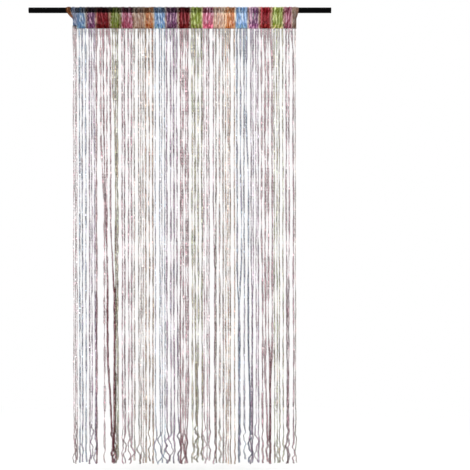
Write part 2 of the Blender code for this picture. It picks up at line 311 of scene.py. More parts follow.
def addYarn(knit, path, side, fore, radius, finish, tone, lightness=None):
    # a tube along the path, drawn in and closed at both ends
    count = len(path)
    radius = np.broadcast_to(radius, (count,)).copy()
    radius[0] *= yarnTips[0]
    radius[-1] *= yarnTips[1]
    around = np.arange(yarnSides)
    angles = math.tau * around / yarnSides
    ring = (np.cos(angles)[None, :, None] * side[:, None, :]
            + np.sin(angles)[None, :, None] * fore[:, None, :])
    corners = (path[:, None, :] + radius[:, None, None] * ring).reshape(-1, 3)
    first = np.arange(count - 1)[:, None] * yarnSides + around[None, :]
    after = np.arange(count - 1)[:, None] * yarnSides + (around[None, :] + 1) % yarnSides
    faces = np.stack([first, first + yarnSides, after + yarnSides, after], axis=-1).reshape(-1, 4).tolist()
    last = (count - 1) * yarnSides
    faces.append(list(range(yarnSides)))
    faces.append([last + corner for corner in reversed(range(yarnSides))])
    knit.add(corners, faces, finish, tone, lightness)


def foreOf(side, along):
    # third direction of a yarn's frame
    fore = np.cross(side, along)
    return fore / np.linalg.norm(fore, axis=1)[:, None]


# Strands: two yarns that cross again and again, with a sequin in each eye

strands = {
    "stripBottom": -0.080,
    "edgeStripBottom": -0.071,
    "drop": 1.995,
    "width": 0.0040,            # of the CAD ribbon
    "gap": 0.0003,              # between the strips of two bands
    "rootClear": 0.0003,        # from a ribbon's root to the end of its strip
    "edgeRoot": 0.0030, "edgePitch": 0.0055, "edgeCount": 3,
    "firstRoot": 0.0285, "rootPitch": 0.01337, "rootCount": 72, "rootJitter": 0.0012,
    "layerCount": 4, "layerSpacing": 0.0042, "layerRun": 0.35,
    "lineStart": 0.0101, "lineSpacing": 0.03093, "lineCount": 32,
    "lineClear": 0.0090, "lineClearEdge": 0.0060,
    "lineLean": 0.0035,         # how far the lines have leant to the right at the foot
    "settleRun": 0.12,          # from its root a strand comes to its place over this run
    "endRagged": 0.008, "endShort": 0.030,  # the ends are uneven, and a few strands shorter still
    # waves of a strand: least and most size and length, and the run over which they grow
    "sway": {"size": (0.0003, 0.0012), "length": (0.50, 0.90), "run": 0.30},
    "ripple": {"size": (0.0001, 0.0005), "length": (0.16, 0.26), "run": 0.10},
    # the curly end: least size and how much more, how far up it reaches, and a second wave's size
    # and rate against the first
    "curl": {"size": (0.0009, 0.0080), "length": (0.050, 0.140), "run": 0.08,
             "reach": 0.15, "uneven": (-0.07, 0.04), "second": (0.4, 2.4)},
    # darker, in gathers and wanders: painted shade where the strands bunch, paler where below 0; it also
    # makes them fuller
    "gathers": [                # across, start, full, left, right, pull, darker
        (0.1030, -0.80, -1.30, 0.016, 0.006, 0.50, 0.2),
        (0.4620, -0.95, -1.40, 0.016, 0.016, 0.45, 0.3),
        (0.4800, -1.70, -1.93, 0.036, 0.036, 0.45, 0.3),
        (0.5435, -1.30, -1.65, 0.016, 0.016, 0.60, 0.2),
        (0.6260, -0.80, -1.20, 0.016, 0.010, 0.60, 0.2),
        (0.9430, -1.05, -1.40, 0.014, 0.014, 0.60, 0.3),
    ],
    "wanders": [                # strand, start, full, distance, darker
        (10, -0.50, -0.90, 0.0150, -0.20), (11, -0.42, -1.25, 0.0165, 0.25),
        (11, -1.42, -1.98, 0.0230, 0.40), (12, -1.42, -1.98, 0.0230, 0.20),
        (12, -1.10, -1.40, 0.0, 0.75), (13, -0.85, -1.30, 0.0150, 0.60),
        (14, -0.25, -0.70, 0.0130, 0.0), (14, -1.12, -1.32, -0.0065, 0.50),
        (15, -1.12, -1.32, 0.0, -0.10), (55, -1.12, -1.32, 0.0065, 0.20),
        (56, -0.70, -0.85, 0.0035, 0.0), (56, -1.05, -1.32, -0.0085, 0.10),
        (57, -1.15, -1.45, 0.0, -0.30), (58, -0.50, -0.75, 0.0070, 0.0),
        (58, -1.05, -1.25, 0.0, 1.00), (58, -1.50, -1.70, 0.0050, 0.0),
        (59, -1.10, -1.32, 0.0040, 0.25), (60, -1.15, -1.32, -0.0045, 0.25),
        (60, -1.40, -1.72, -0.0060, 0.0), (63, -0.90, -1.30, 0.0030, 0.20),
        (64, -1.60, -1.82, 0.0060, 0.50), (65, -1.32, -1.62, 0.0065, 0.70),
        (66, -1.42, -1.66, -0.0110, 0.90),
    ],
    "linkPitch": 0.0069,        # from one crossing to the next
    "lift": 0.00050,            # yarn's way out to the front and back
    "tuck": 0.004,              # how far the yarns reach up into the lower edge
    "tail": 0.0028,             # how far the yarns' ends hang below their solid
    "freeRun": 0.05,            # held by the lower edge over this run below it
    # the strands on a line hang full and dark, those between are loose, turn, open and close
    "onLine": {"swing": (0.0031, 0.0039), "yarn": 0.00152, "tone": (0.06, 0.40), "least": 0.44},
    "between": {"swing": (0.0030, 0.0046), "yarn": 0.00136, "tone": (0.04, 0.66), "least": 0.14},
    "opening": {"length": (0.18, 0.45), "gain": 1.7, "closed": 0.20},   # on the way down
    # how far the flat strand turns about its own line, in radians
    "turning": {"start": 0.3, "slow": (0.2, 0.7), "slowLength": (0.25, 0.60),
                "quick": 0.25, "quickLength": (0.08, 0.16)},
    "wiggles": [(0.00045, 0.06, 0.11), (0.00030, 0.018, 0.034)],    # size, least and most length
    "crinkles": [               # least and most size and length, towards the end only
        (0.0002, 0.0016, 0.026, 0.070),
        (0.0002, 0.0008, 0.012, 0.022),
    ],
    "endFuller": 0.5,           # how much of the way to full width the crinkled part is
    "endDarker": 0.12,
    "bunchFull": 1.15,          # width of a strand in a bunch, against a full one
    "yarnShare": (0.35, 0.65, 0.45),        # yarn's radius: always, with the width, in a bunch
    "toneWave": 0.95, "toneLength": (0.12, 0.36),
    "toneApart": 0.08,          # between a strand's two yarns and their mean
    # fuller and darker in the lower part, and right under the heading
    "low": {"top": -1.35, "run": 0.40, "wider": 0.10, "darker": 0.10},
    "high": {"run": 0.26, "wider": 0.40, "edgeWider": 1.20, "darker": 0.42},
    "foldMarks": {              # pale rows across all strands where the curtain lay folded: thinner, with a painted highlight
        "first": -0.4079, "spacing": 0.3370, "count": 5, "rise": 0.0563, "half": 0.0050,
        "foldHighlight": 0.40, "thinner": 0.25, "uneven": 0.005,
    },
    "sequin": {"halfHeight": 0.0034, "halfWidth": 0.0036, "turn": 0.75,
               "tiltOut": 0.25, "tiltAcross": 0.20, "tiltUp": 0.45},
}
linkSteps = 3                   # points of a yarn from one crossing to the next


def strandPlaces():
    # for each strand its even place, the place where it comes to hang, and whether on a line
    rng = random.Random(curtain["seed"])
    jitter = strands["rootJitter"]
    evenly = [strands["edgeRoot"] + strands["edgePitch"] * number for number in range(strands["edgeCount"])]
    evenly += [strands["firstRoot"] + strands["rootPitch"] * number + rng.uniform(-jitter, jitter)
               for number in range(strands["rootCount"])]
    lines = [strands["lineStart"] + strands["lineSpacing"] * line for line in range(strands["lineCount"])]
    onLine = {min(range(len(evenly)), key=lambda number: abs(evenly[number] - line)) for line in lines}
    places = []
    for number, across in enumerate(evenly):
        line = min(lines, key=lambda place: abs(across - place))
        clear = strands["lineClear"] if number >= strands["edgeCount"] else strands["lineClearEdge"]
        offset = 0.0 if number in onLine else math.copysign(max(abs(across - line), clear), across - line)
        places.append((across, line + offset, number in onLine))
    return places


def drawWave(rng, wave):
    return rng.uniform(*wave["size"]), rng.uniform(*wave["length"]), rng.uniform(0.0, math.tau)


def strandRows():
    # the same draws as in the CAD part, so that each strand lies in its own solid
    rng = random.Random(curtain["seed"] + 1)
    rows = []
    margin = strands["width"] / 2.0 + strands["gap"] + strands["rootClear"]
    curl = strands["curl"]
    for number, (even, place, onLine) in enumerate(strandPlaces()):
        band = bandAt(even)
        layer = number % strands["layerCount"] - (strands["layerCount"] - 1) / 2.0
        ragged = strands["endRagged"] * rng.random()
        short = strands["endShort"] * rng.random() ** 6
        rows.append({
            "number": number,
            "band": band,
            "root": min(max(place, bandEdges[band] + margin), bandEdges[band + 1] - margin),
            "settled": place,
            "kind": "onLine" if onLine else "between",
            "end": -strands["drop"] + ragged + short,
            "depth": strands["layerSpacing"] * layer,
            "sway": drawWave(rng, strands["sway"]),
            "ripple": drawWave(rng, strands["ripple"]),
            "curl": (curl["size"][0] + curl["size"][1] * rng.random() ** 3,
                     rng.uniform(*curl["length"]), rng.uniform(0.0, math.tau)),
            "curlBegin": strands["drop"] + strands["stripBottom"] - curl["reach"]
                         + rng.uniform(*curl["uneven"]),
        })
    return rows


def strandPath(row, heights):
    # x and y of a strand's middle, and how much darker its bunch makes it: painted shade, which also makes it
    # fuller
    below = strands["stripBottom"] - heights
    place = row["settled"]
    across = row["root"] + (place - row["root"]) * smoothStep(below / strands["settleRun"])
    across = across + strands["lineLean"] * below / strands["drop"]
    shadow = 0.0 * below
    for centre, start, full, left, right, pull, darker in strands["gathers"]:
        nearness = 1.0 - ((place - centre) / (left if place < centre else right)) ** 2
        if nearness > 0.0:
            grown = smoothStep((start - heights) / (start - full))
            across = across + (centre - place) * pull * math.sqrt(nearness) * grown
            shadow = shadow + darker * nearness ** 0.2 * grown
    for number, start, full, distance, darker in strands["wanders"]:
        if number == row["number"]:
            grown = smoothStep((start - heights) / (start - full))
            across = across + distance * grown
            shadow = shadow + darker * grown
    secondSize, secondRate = strands["curl"]["second"]
    for name, begin in (("sway", 0.0), ("ripple", 0.0), ("curl", row["curlBegin"])):
        size, length, phase = row[name]
        turn = math.tau * below / length + phase
        wave = np.sin(turn)
        if name == "curl":
            wave = wave + secondSize * np.sin(secondRate * turn)
        across = across + size * smoothStep((below - begin) / strands[name]["run"]) * wave
    depth = row["depth"] * smoothStep(below / strands["layerRun"])
    return curtain["start"] + across, depth, shadow


def randomWave(rng, below, lengths):
    return np.sin(math.tau * below / rng.uniform(*lengths) + rng.uniform(0.0, math.tau))


def slowWave(rng, below, lengths):
    # soft random rise and fall along a strand, from 0 to 1, of a long wave and a shorter one
    total = 0.0 * below
    for share, scale in ((0.6, 1.0), (0.4, 0.43)):
        length = rng.uniform(*lengths) * scale
        total = total + share * np.sin(math.tau * below / length + rng.uniform(0.0, math.tau))
    return 0.5 + 0.5 * total


def foldMark(heights):
    # 1 at the middle of each pale row of painted highlight, 0 away from them
    marks = strands["foldMarks"]
    mark = 0.0 * heights
    for number in range(marks["count"]):
        for rise in (0.0, marks["rise"]):
            middle = marks["first"] - marks["spacing"] * number + rise
            mark = np.maximum(mark, np.exp(-((heights - middle) / marks["half"]) ** 2))
    return mark


def wiggled(rng, x, below, free, loose):
    # a strand's middle as it hangs, with fine wiggles and, towards the end, crinkles
    lengths = [rng.uniform(shortest, longest) for size, shortest, longest in strands["wiggles"]]
    for (size, *_), length in zip(strands["wiggles"], lengths):
        x = x + size * free * np.sin(math.tau * below / length + rng.uniform(0.0, math.tau))
    for least, most, shortest, longest in strands["crinkles"]:
        turn = math.tau * below / rng.uniform(shortest, longest) + rng.uniform(0.0, math.tau)
        x = x + rng.uniform(least, most) * loose * np.arcsin(np.sin(turn)) / (math.pi / 2.0)
    return x


def addSequins(knit, path, twist, rng):
    # one in each eye, at its own angle
    sequin = strands["sequin"]
    count = (len(path) - 1) // linkSteps
    eyes = np.arange(count) * linkSteps + 1
    middle = (path[eyes] + path[eyes + 1]) / 2.0
    draw = np.array([[rng.uniform(-1.0, 1.0) for _ in range(4)] for _ in range(count)])
    turn = twist[eyes] + sequin["turn"] * draw[:, 0]
    tiltOut, tiltAcross = sequin["tiltOut"] * draw[:, 1], sequin["tiltAcross"] * draw[:, 1]
    tiltUp = sequin["tiltUp"] * draw[:, 2]
    wide = np.stack([np.cos(turn), np.sin(turn), tiltOut], axis=1) * sequin["halfWidth"]
    tall = np.stack([tiltAcross, tiltUp, -np.ones(count)], axis=1) * sequin["halfHeight"]
    corners = np.stack([middle - tall, middle + wide, middle + tall, middle - wide], axis=1)
    faces = (np.arange(count)[:, None] * 4 + np.arange(4)[None, :]).tolist()
    knit.add(corners.reshape(-1, 3), faces, 1, np.repeat(0.5 + 0.5 * draw[:, 3], 4))


def addStrand(knit, row, rng):
    onEdge = row["band"] == 0
    top = (strands["edgeStripBottom"] if onEdge else strands["stripBottom"]) + strands["tuck"]
    end = row["end"] - strands["tail"]
    links = int((top - end) / strands["linkPitch"])
    steps = linkSteps * links + 1
    heights = top - (top - end) * np.arange(steps) / (steps - 1)
    below = top - heights
    free = smoothStep(below / strands["freeRun"])
    loose = smoothStep((below - row["curlBegin"]) / strands["curl"]["run"])
    x, y, shadow = strandPath(row, heights)
    path = np.stack([wiggled(rng, x, below, free, loose), y, heights], axis=1)

    # the flat strand turns slowly about its own line on the way down
    turning = strands["turning"]
    twist = rng.uniform(-turning["start"], turning["start"])
    slow = rng.uniform(*turning["slow"]) * randomWave(rng, below, turning["slowLength"])
    twist = twist + free * (slow + turning["quick"] * randomWave(rng, below, turning["quickLength"]))
    side = np.stack([np.cos(twist), np.sin(twist), np.zeros(steps)], axis=1)
    fore = np.stack([-np.sin(twist), np.cos(twist), np.zeros(steps)], axis=1)

    # how wide it stands open, against a full strand
    kind, opening = strands[row["kind"]], strands["opening"]
    shade = rng.uniform(*kind["tone"])
    widest = rng.uniform(*kind["swing"])
    low = smoothStep((strands["low"]["top"] - heights) / strands["low"]["run"])
    high = 1.0 - smoothStep(below / strands["high"]["run"])
    mark = foldMark(heights + strands["foldMarks"]["uneven"] * math.sin(row["ripple"][2]))
    opened = smoothStep(opening["gain"] * slowWave(rng, below, opening["length"]) - opening["closed"])
    body = (1.0 + strands["low"]["wider"] * low) * (1.0 - free * (1.0 - kind["least"]) * (1.0 - opened))
    body = body * bands[row["band"]]["fullness"]
    body = body * (1.0 + strands["high"]["edgeWider" if onEdge else "wider"] * high)
    body = body * (1.0 - strands["foldMarks"]["thinner"] * mark)
    bunched = np.clip(shadow + strands["endFuller"] * loose, 0.0, 1.0)
    body = body + (strands["bunchFull"] - body) * bunched

    always, withBody, inBunch = strands["yarnShare"]
    phase = math.pi * (np.arange(steps) / linkSteps - 0.5)
    for hand in (1.0, -1.0):
        swing = hand * widest * np.cos(phase) * body
        lift = hand * strands["lift"] * np.sin(phase)
        centre = path + swing[:, None] * side + lift[:, None] * fore
        tone = shade + strands["toneWave"] * (slowWave(rng, below, strands["toneLength"]) - 0.5)
        tone = tone + hand * strands["toneApart"]
        # painted shade of a bunch darkens the tone, and on the fold marks a painted highlight lightens it
        tone = tone - strands["low"]["darker"] * low - strands["high"]["darker"] * high - shadow
        tone = tone - strands["endDarker"] * loose + strands["foldMarks"]["foldHighlight"] * mark
        radius = kind["yarn"] * (always + withBody * body + inBunch * shadow)
        addYarn(knit, centre, side, fore, radius, 0, np.repeat(np.clip(tone, 0.0, 1.0), yarnSides))
    addSequins(knit, path, twist, rng)


yarnFinish = {                  # a spot's size is given as spots per metre along x, y and z
    "fleck": (900.0, 900.0, 260.0), "fleckTone": 0.4,
    "glint": (150.0, 150.0, 100.0), "glintTone": 0.9,
    "darkStop": 0.30,
    "haze": (45.0, 45.0, 9.0), "hazeFrom": 0.30, "hazeFull": 0.56, "hazeMost": 0.80, "hazeTone": 2.5,
    "hazeShades": ((0.090, 0.058, 0.062), (0.350, 0.258, 0.268)),
    "roughness": 0.35, "rougher": 0.30,
    "fibres": (2400.0, 2400.0, 700.0), "fibreStrength": 0.5, "fibreHeight": 0.0003,
}


def yarnMaterial(colour):
    look = yarnFinish
    deep, dark, light = palette[colour]["strand"]
    material, tree, shader = newMaterial("yarn_" + colour, Specular_IOR_Level=0.05)
    fleck = spots(tree, look["fleck"])
    glint = spots(tree, look["glint"])
    share = attributeOf(tree, "tone") + (fleck - 0.5) * look["fleckTone"] + (glint - 0.5) * look["glintTone"]
    stops = [(0.0, deep), (look["darkStop"], dark), (1.0, light)]
    body = addNode(tree, "ShaderNodeValToRGB", {"stops": stops}, {"Fac": share})
    # the sequins throw grey and rose light on the yarn here and there
    haze = addNode(tree, "ShaderNodeMapRange", {}, {
        "Value": spots(tree, look["haze"]),
        "From Min": look["hazeFrom"], "From Max": look["hazeFull"], "To Max": look["hazeMost"]})
    haze = addNode(tree, "ShaderNodeMath", {"operation": "MULTIPLY", "use_clamp": True},
                   {0: haze, 1: share * look["hazeTone"]})
    body = mixColour(tree, haze, body, mixColour(tree, share, *look["hazeShades"]))
    feed(tree, body, shader, "Base Color")
    feed(tree, look["roughness"] + fleck * look["rougher"], shader, "Roughness")
    feedBump(tree, spots(tree, look["fibres"], 1.0), shader, look["fibreStrength"], look["fibreHeight"])
    return material


sequinFinish = {
    "shaded": 0.7,              # a shaded sequin against its own colour
    "glintWhite": 0.6,              # painted glint: how far the brightest are from their own colour to white
    "stops": (0.0, 0.40, 0.86, 1.0),
    "sheen": (60.0, 60.0, 45.0),
    "rainbow": [(0.30, (1.0, 0.82, 0.92)), (0.50, (1.0, 1.0, 1.0)), (0.70, (0.85, 0.95, 1.0))],
    "scuffs": (700.0, 700.0, 700.0), "roughness": 0.18, "rougher": 0.20,
}


def sequinMaterial(colour):
    look = sequinFinish
    pale = palette[colour]["sequin"]
    shaded = tuple(look["shaded"] * part for part in pale)
    glintWhite = tuple(look["glintWhite"] + (1.0 - look["glintWhite"]) * part for part in pale)
    material, tree, shader = newMaterial("sequin_" + colour, Metallic=0.85)
    # each sequin's tone runs from painted shade through its own colour to a painted glint
    stops = list(zip(look["stops"], (shaded, pale, pale, glintWhite)))
    glints = addNode(tree, "ShaderNodeValToRGB", {"stops": stops}, {"Fac": attributeOf(tree, "tone")})
    sheen = spots(tree, look["sheen"], 0.0)
    rainbow = addNode(tree, "ShaderNodeValToRGB", {"stops": look["rainbow"]}, {"Fac": sheen})
    feed(tree, mixColour(tree, 1.0, glints, rainbow, "MULTIPLY"), shader, "Base Color")
    feed(tree, look["roughness"] + spots(tree, look["scuffs"], 1.0) * look["rougher"], shader, "Roughness")
    return material


# Lower edge of the heading: crossing yarns over a thin core, from which the strands come out

lowerEdge = {
    "top": -0.0605,
    "hang": 0.0014,             # how far the yarns hang below their solid
    "scallop": 0.0016,          # how much lower they are in the middle of a strip
    "yarnPitch": 0.0045,
    "yarnRadius": 0.00075,
    "jitter": 0.0005, "lowUneven": (-0.0006, 0.0010), "highUneven": (-0.0040, 0.0080),
    "swing": 0.0022, "period": 0.0120, "phaseJitter": 0.4,
    "steps": 9,
    "front": 0.0011,            # yarn middles, from the middle of the strip
    "frontWave": 0.0004,
    "sideClear": 0.0008,
    "coreHalf": 0.0007, "coreThin": 0.35,   # and how thin it is at its rim, as a share
    "coreRise": 0.0012, "coreWave": 0.0067, # how far its bottom edge waves
    "coreInset": 0.0003, "coreColumn": 0.0033, "coreRows": 4,
    "coreTone": 0.3, "coreShade": 0.7,
}


def addEdgeYarns(knit, left, right, bottom, rng):
    top, steps, jitter = lowerEdge["top"], lowerEdge["steps"], lowerEdge["jitter"]
    count = max(2, round((right - left) / lowerEdge["yarnPitch"]))
    share = np.arange(steps + 1) / steps
    zeros, ones = np.zeros(steps + 1), np.ones(steps + 1)
    side = np.stack([ones, zeros, zeros], axis=1)
    fore = np.stack([zeros, ones, zeros], axis=1)
    for face in (-1.0, 1.0):
        for number in range(count):
            middle = left + (right - left) * (number + 0.5) / count
            middle += rng.uniform(-jitter, jitter)
            low = bottom + rng.uniform(*lowerEdge["lowUneven"])
            low += lowerEdge["scallop"] * (0.5 - math.sin(math.pi * (number + 0.5) / count))
            high = top + rng.uniform(*lowerEdge["highUneven"])
            heights = high + (low - high) * share
            phase = math.pi * (number % 2) + rng.uniform(-lowerEdge["phaseJitter"], lowerEdge["phaseJitter"])
            wave = math.tau * (top - heights) / lowerEdge["period"] + phase
            x = curtain["start"] + middle + lowerEdge["swing"] * np.sin(wave)
            x = np.clip(x, curtain["start"] + left + lowerEdge["sideClear"],
                        curtain["start"] + right - lowerEdge["sideClear"])
            y = face * (lowerEdge["front"] + lowerEdge["frontWave"] * np.cos(wave))
            path = np.stack([x, y, heights], axis=1)
            addYarn(knit, path, side, fore, lowerEdge["yarnRadius"], 2, rng.uniform(0.0, 1.0))


def addEdgeCore(knit, left, right, bottom):
    # a flat closed slab, thinner at its rim, with a wavy bottom edge
    top, rows = lowerEdge["top"], lowerEdge["coreRows"]
    columns = max(4, round((right - left) / lowerEdge["coreColumn"]))
    corners, faces = [], []
    for face in (-1.0, 1.0):
        for column in range(columns + 1):
            x = left + (right - left) * column / columns
            atSide = column in (0, columns)
            inset = lowerEdge["coreInset"] if atSide else 0.0
            shift = inset if column == 0 else -inset
            wave = lowerEdge["coreRise"] * (0.5 - 0.5 * math.cos(math.tau * x / lowerEdge["coreWave"]))
            for row in range(rows + 1):
                z = top + (bottom + wave - top) * row / rows
                thick = lowerEdge["coreHalf"] * (lowerEdge["coreThin"] if row in (0, rows) or atSide else 1.0)
                corners.append((curtain["start"] + x + shift, face * thick, z))
    size = (columns + 1) * (rows + 1)
    for column in range(columns):
        for row in range(rows):
            a = column * (rows + 1) + row
            b = a + rows + 1
            faces.append([a, a + 1, b + 1, b])
            faces.append([size + a, size + b, size + b + 1, size + a + 1])
    for row in range(rows):
        a, b = row, columns * (rows + 1) + row
        faces.append([a, size + a, size + a + 1, a + 1])
        faces.append([b, b + 1, size + b + 1, size + b])
    for column in range(columns):
        a = column * (rows + 1)
        b = a + rows + 1
        faces.append([a, b, size + b, size + a])
        faces.append([a + rows, size + a + rows, size + b + rows, b + rows])
    knit.add(corners, faces, 3, lowerEdge["coreTone"])


def addLowerEdge(knit, band, rng):
    left, right = bandEdges[band], bandEdges[band + 1]
    bottom = (strands["edgeStripBottom"] if band == 0 else strands["stripBottom"]) - lowerEdge["hang"]
    addEdgeYarns(knit, left, right, bottom, rng)
    addEdgeCore(knit, left, right, bottom)


# Finish of the knitted yarns of the heading and its lower edge

knitFinish = {                  # a spot's size is given as spots per metre along x, y and z
    "streakAcross": 130.0, "streakDown": 42.0, "streakRange": (0.30, 0.70), "streakTone": 1.7,
    "streakLean": 0.7,          # from left to right the light and dark runs lean this much
    "fleck": (700.0, 700.0, 160.0), "fleckTone": 0.5,
    "leftDarker": 0.25,
    "roughness": 0.45, "rougher": 0.25,
    "fibres": (2000.0, 2000.0, 600.0), "fibreStrength": 0.5, "fibreHeight": 0.0004,
    "border": (75.0, 0.0, 28.0), "borderRange": (0.40, 0.60), "borderMost": 0.62,
    "borderShades": ((0.16, 0.08, 0.045), (0.82, 0.70, 0.50)),
}


def alongRod(tree):
    # from 0 at the curtain's left edge to 1 at its right edge
    return addNode(tree, "ShaderNodeMapRange", {}, {
        "Value": alongAxis(tree, placeOf(tree), "X"),
        "From Min": curtain["start"], "From Max": curtain["start"] + curtainWidth})


def streaksOf(tree):
    # light and dark runs of the heading's knit, which lean outward on their way up to the rod
    look = knitFinish
    x, z = alongAxis(tree, placeOf(tree), "X"), alongAxis(tree, placeOf(tree), "Z")
    lean = alongRod(tree) * look["streakLean"] - look["streakLean"] / 2.0
    place = addNode(tree, "ShaderNodeCombineXYZ", {}, {
        0: (x - z * lean) * look["streakAcross"], 2: z * look["streakDown"]})
    runs = addNode(tree, "ShaderNodeTexNoise", {}, {"Vector": place, "Scale": 1.0, "Detail": 2.0})
    return addNode(tree, "ShaderNodeMapRange", {}, {
        "Value": runs, "From Min": look["streakRange"][0], "From Max": look["streakRange"][1]})


def addBorder(tree, body):
    # the yarns of two bands mix with natural and brown ones where the bands meet
    look = knitFinish
    share = addNode(tree, "ShaderNodeMapRange", {}, {
        "Value": spots(tree, look["border"], 1.0),
        "From Min": look["borderRange"][0], "From Max": look["borderRange"][1]})
    other = mixColour(tree, share, *look["borderShades"])
    return mixColour(tree, attributeOf(tree, "border") * look["borderMost"], body, other)


def withLightnessAndRodShade(tree, body, factor=1.0):
    # the colour times its band's lightness, with painted shade over the black rod
    gain = attributeOf(tree, "lightness") * factor
    grey = addNode(tree, "ShaderNodeCombineColor", {}, {0: gain, 1: gain, 2: gain})
    return mixColour(tree, 1.0, body, grey, "MULTIPLY")


def knitMaterial(name, shades, factor=1.0):
    look = knitFinish
    material, tree, shader = newMaterial(name, Specular_IOR_Level=0.04)
    fleck = spots(tree, look["fleck"])
    share = attributeOf(tree, "tone") + (fleck - 0.5) * look["fleckTone"]
    share = share + (streaksOf(tree) - 0.5) * look["streakTone"]
    share = share - (1.0 - alongRod(tree)) * look["leftDarker"]
    body = addBorder(tree, mixColour(tree, share, *shades))
    feed(tree, withLightnessAndRodShade(tree, body, factor), shader, "Base Color")
    feed(tree, look["roughness"] + fleck * look["rougher"], shader, "Roughness")
    feedBump(tree, spots(tree, look["fibres"], 1.0), shader, look["fibreStrength"], look["fibreHeight"])
    return material


# Heading: sheer cloth folded over the rod, with thick yarns that run down it

heading = {
    "seed": 5,
    "flatSize": (1.0, 0.171),   # width at the seam, length of the folded loop
    "clearance": 0.0006, "thickness": 0.0016,
    "wallTop": -0.004, "seamTop": -0.0555, "bottom": -0.0617, "seamThickness": 0.0036,
    "wallBulge": 0.85,          # below 1 the walls keep wide further down
    "leftFlare": 0.029, "rightFlare": 0.009, "flareFoot": -0.0385, "flareRun": 0.0425,
    "flareHem": (-0.034, 0.005),            # brown cloth above this height, this far from the left edge
    "flareLightness": 0.55,
    "swell": 0.0012, "stationSpacing": 0.045,
    "wallSteps": 14,
    "columnStep": 0.0022,       # from one row of corners to the next across the cloth
    "relief": 0.00030,          # waves of the cloth between its yarns
    "clothSunk": 0.0003,        # how far the cloth lies inside the middle of the wall
    "rodShade": -0.0150, "rodShadeRun": 0.0045,     # painted shade from this height up, where the rod lies behind and shows through
    "ribRadius": 0.00085, "ribUneven": (0.85, 1.15),
    "ribYarns": 3, "ribSwing": 0.0027, "ribPeriod": 0.0115, "ribStep": 0.0027,
    "ribWave": 0.00035, "ribLift": 0.0007, "ribLiftEdge": 0.0006,   # more where they cover the lower edge
    "ribFoot": -0.0780,         # the ribs run on over the lower edge
    "edgeRibFoot": -0.0690,
    "ribTone": 0.25, "ribToneUneven": (-0.15, 0.30), "everySecond": 0.25, "yarnTone": 0.12,
    "middleBacklight": 0.20, "footDarker": 0.55, "footShade": -0.046, "footShadeRun": 0.014,
    "lean": 0.0060,             # how far a rib leans out on its way up to the rod
    "bow": 0.0040,              # and how far it bows halfway
    "sideClear": 0.001,
    "linkPeriod": 0.017, "linkLift": 0.0004,
    "link": {"swing": 0.0042, "radius": 0.00034, "tone": 0.7},
    "borderLink": {"swing": 0.0032, "radius": 0.00100, "tone": 0.3},
}


def layerDepth(height):
    # half the distance between the middles of the two layers
    atRod = curtain["rodRadius"] + heading["clearance"] + heading["thickness"] / 2.0
    atSeam = heading["seamThickness"] / 2.0 - heading["thickness"] / 2.0
    run = (heading["wallTop"] - height) / (heading["wallTop"] - heading["seamTop"])
    return atSeam + (atRod - atSeam) * (1.0 - smoothStep(run)) ** heading["wallBulge"]


def headingStations():
    stations = [0.0]
    for low, high in zip(bandEdges, bandEdges[1:]):
        parts = max(1, math.ceil((high - low) / heading["stationSpacing"]))
        stations += [low + (high - low) * part / parts for part in range(1, parts + 1)]
    return stations


def headingSwells():
    # the same draws as in the CAD part: swell of the front and back layer at each station
    rng = random.Random(curtain["seed"])
    swell = heading["swell"]
    draws = [(rng.uniform(-swell, swell), rng.uniform(-swell, swell)) for _ in headingStations()]
    return [front for front, back in draws], [back for front, back in draws]


def headingLoop(step, low):
    # outline of the folded cloth from the foot of its front layer over the rod to the foot of
    # the back layer: y, z, the side it is on (-1 front, 0 top, 1 back), and distance along
    radius = layerDepth(np.array([0.0]))[0]
    wallCount = max(4, round(-low / step))
    arcCount = max(6, round(math.pi * radius / step))
    heights = low - low * np.arange(wallCount) / wallCount
    angles = math.pi - math.pi * np.arange(arcCount + 1) / arcCount
    y = np.concatenate([-layerDepth(heights), radius * np.cos(angles), layerDepth(heights[::-1])])
    z = np.concatenate([heights, radius * np.sin(angles), heights[::-1]])
    side = np.concatenate([-np.ones(wallCount), np.cos(angles), np.ones(wallCount)])
    along = np.concatenate([[0.0], np.cumsum(np.hypot(np.diff(y), np.diff(z)))])
    return y, z, side, along


stationPlaces = headingStations()
frontSwells, backSwells = headingSwells()


def placeOnHeading(across, y, z, side, outward):
    # points in the model's frame for places on the cloth, pushed outward from its middle
    flared = np.clip((z - heading["flareFoot"]) / heading["flareRun"], 0.0, 1.0)
    share = np.sin(math.pi / 2.0 * flared)
    first, last = stationPlaces[1], stationPlaces[-2]
    atLeft = np.clip(1.0 - across / first, 0.0, 1.0)
    atRight = np.clip((across - last) / (curtainWidth - last), 0.0, 1.0)
    x = curtain["start"] + across - heading["leftFlare"] * share * atLeft
    x = x + heading["rightFlare"] * share * atRight
    swell = np.where(side < 0.0, np.interp(across, stationPlaces, frontSwells),
                     np.interp(across, stationPlaces, backSwells))
    inWall = np.clip((z - heading["wallTop"]) / (heading["seamTop"] - heading["wallTop"]), 0.0, 1.0)
    ty, tz = np.gradient(y), np.gradient(z)
    length = np.hypot(ty, tz)
    ny, nz = -tz / length, ty / length          # outward for a path that goes up the front
    push = swell * np.sin(math.pi * inWall) + outward
    return np.stack([x, y + ny * push, z + nz * push], axis=1)


def lightnessWithRodShadeAt(band, z):
    # lightness of the heading, with painted shade where the black rod lies behind it
    lightness, overBlack = bands[band]["lightness"], bands[band]["overRod"]
    shaded = smoothStep((z - heading["rodShade"]) / heading["rodShadeRun"])
    return lightness * (1.0 - (1.0 - overBlack) * shaded)


def overRod(tree):
    # 1 where the black rod lies behind the cloth, 0 below it
    return addNode(tree, "ShaderNodeMapRange", {"interpolation_type": "SMOOTHSTEP"}, {
        "Value": alongAxis(tree, placeOf(tree), "Z"),
        "From Min": heading["rodShade"], "From Max": heading["rodShade"] + heading["rodShadeRun"]})


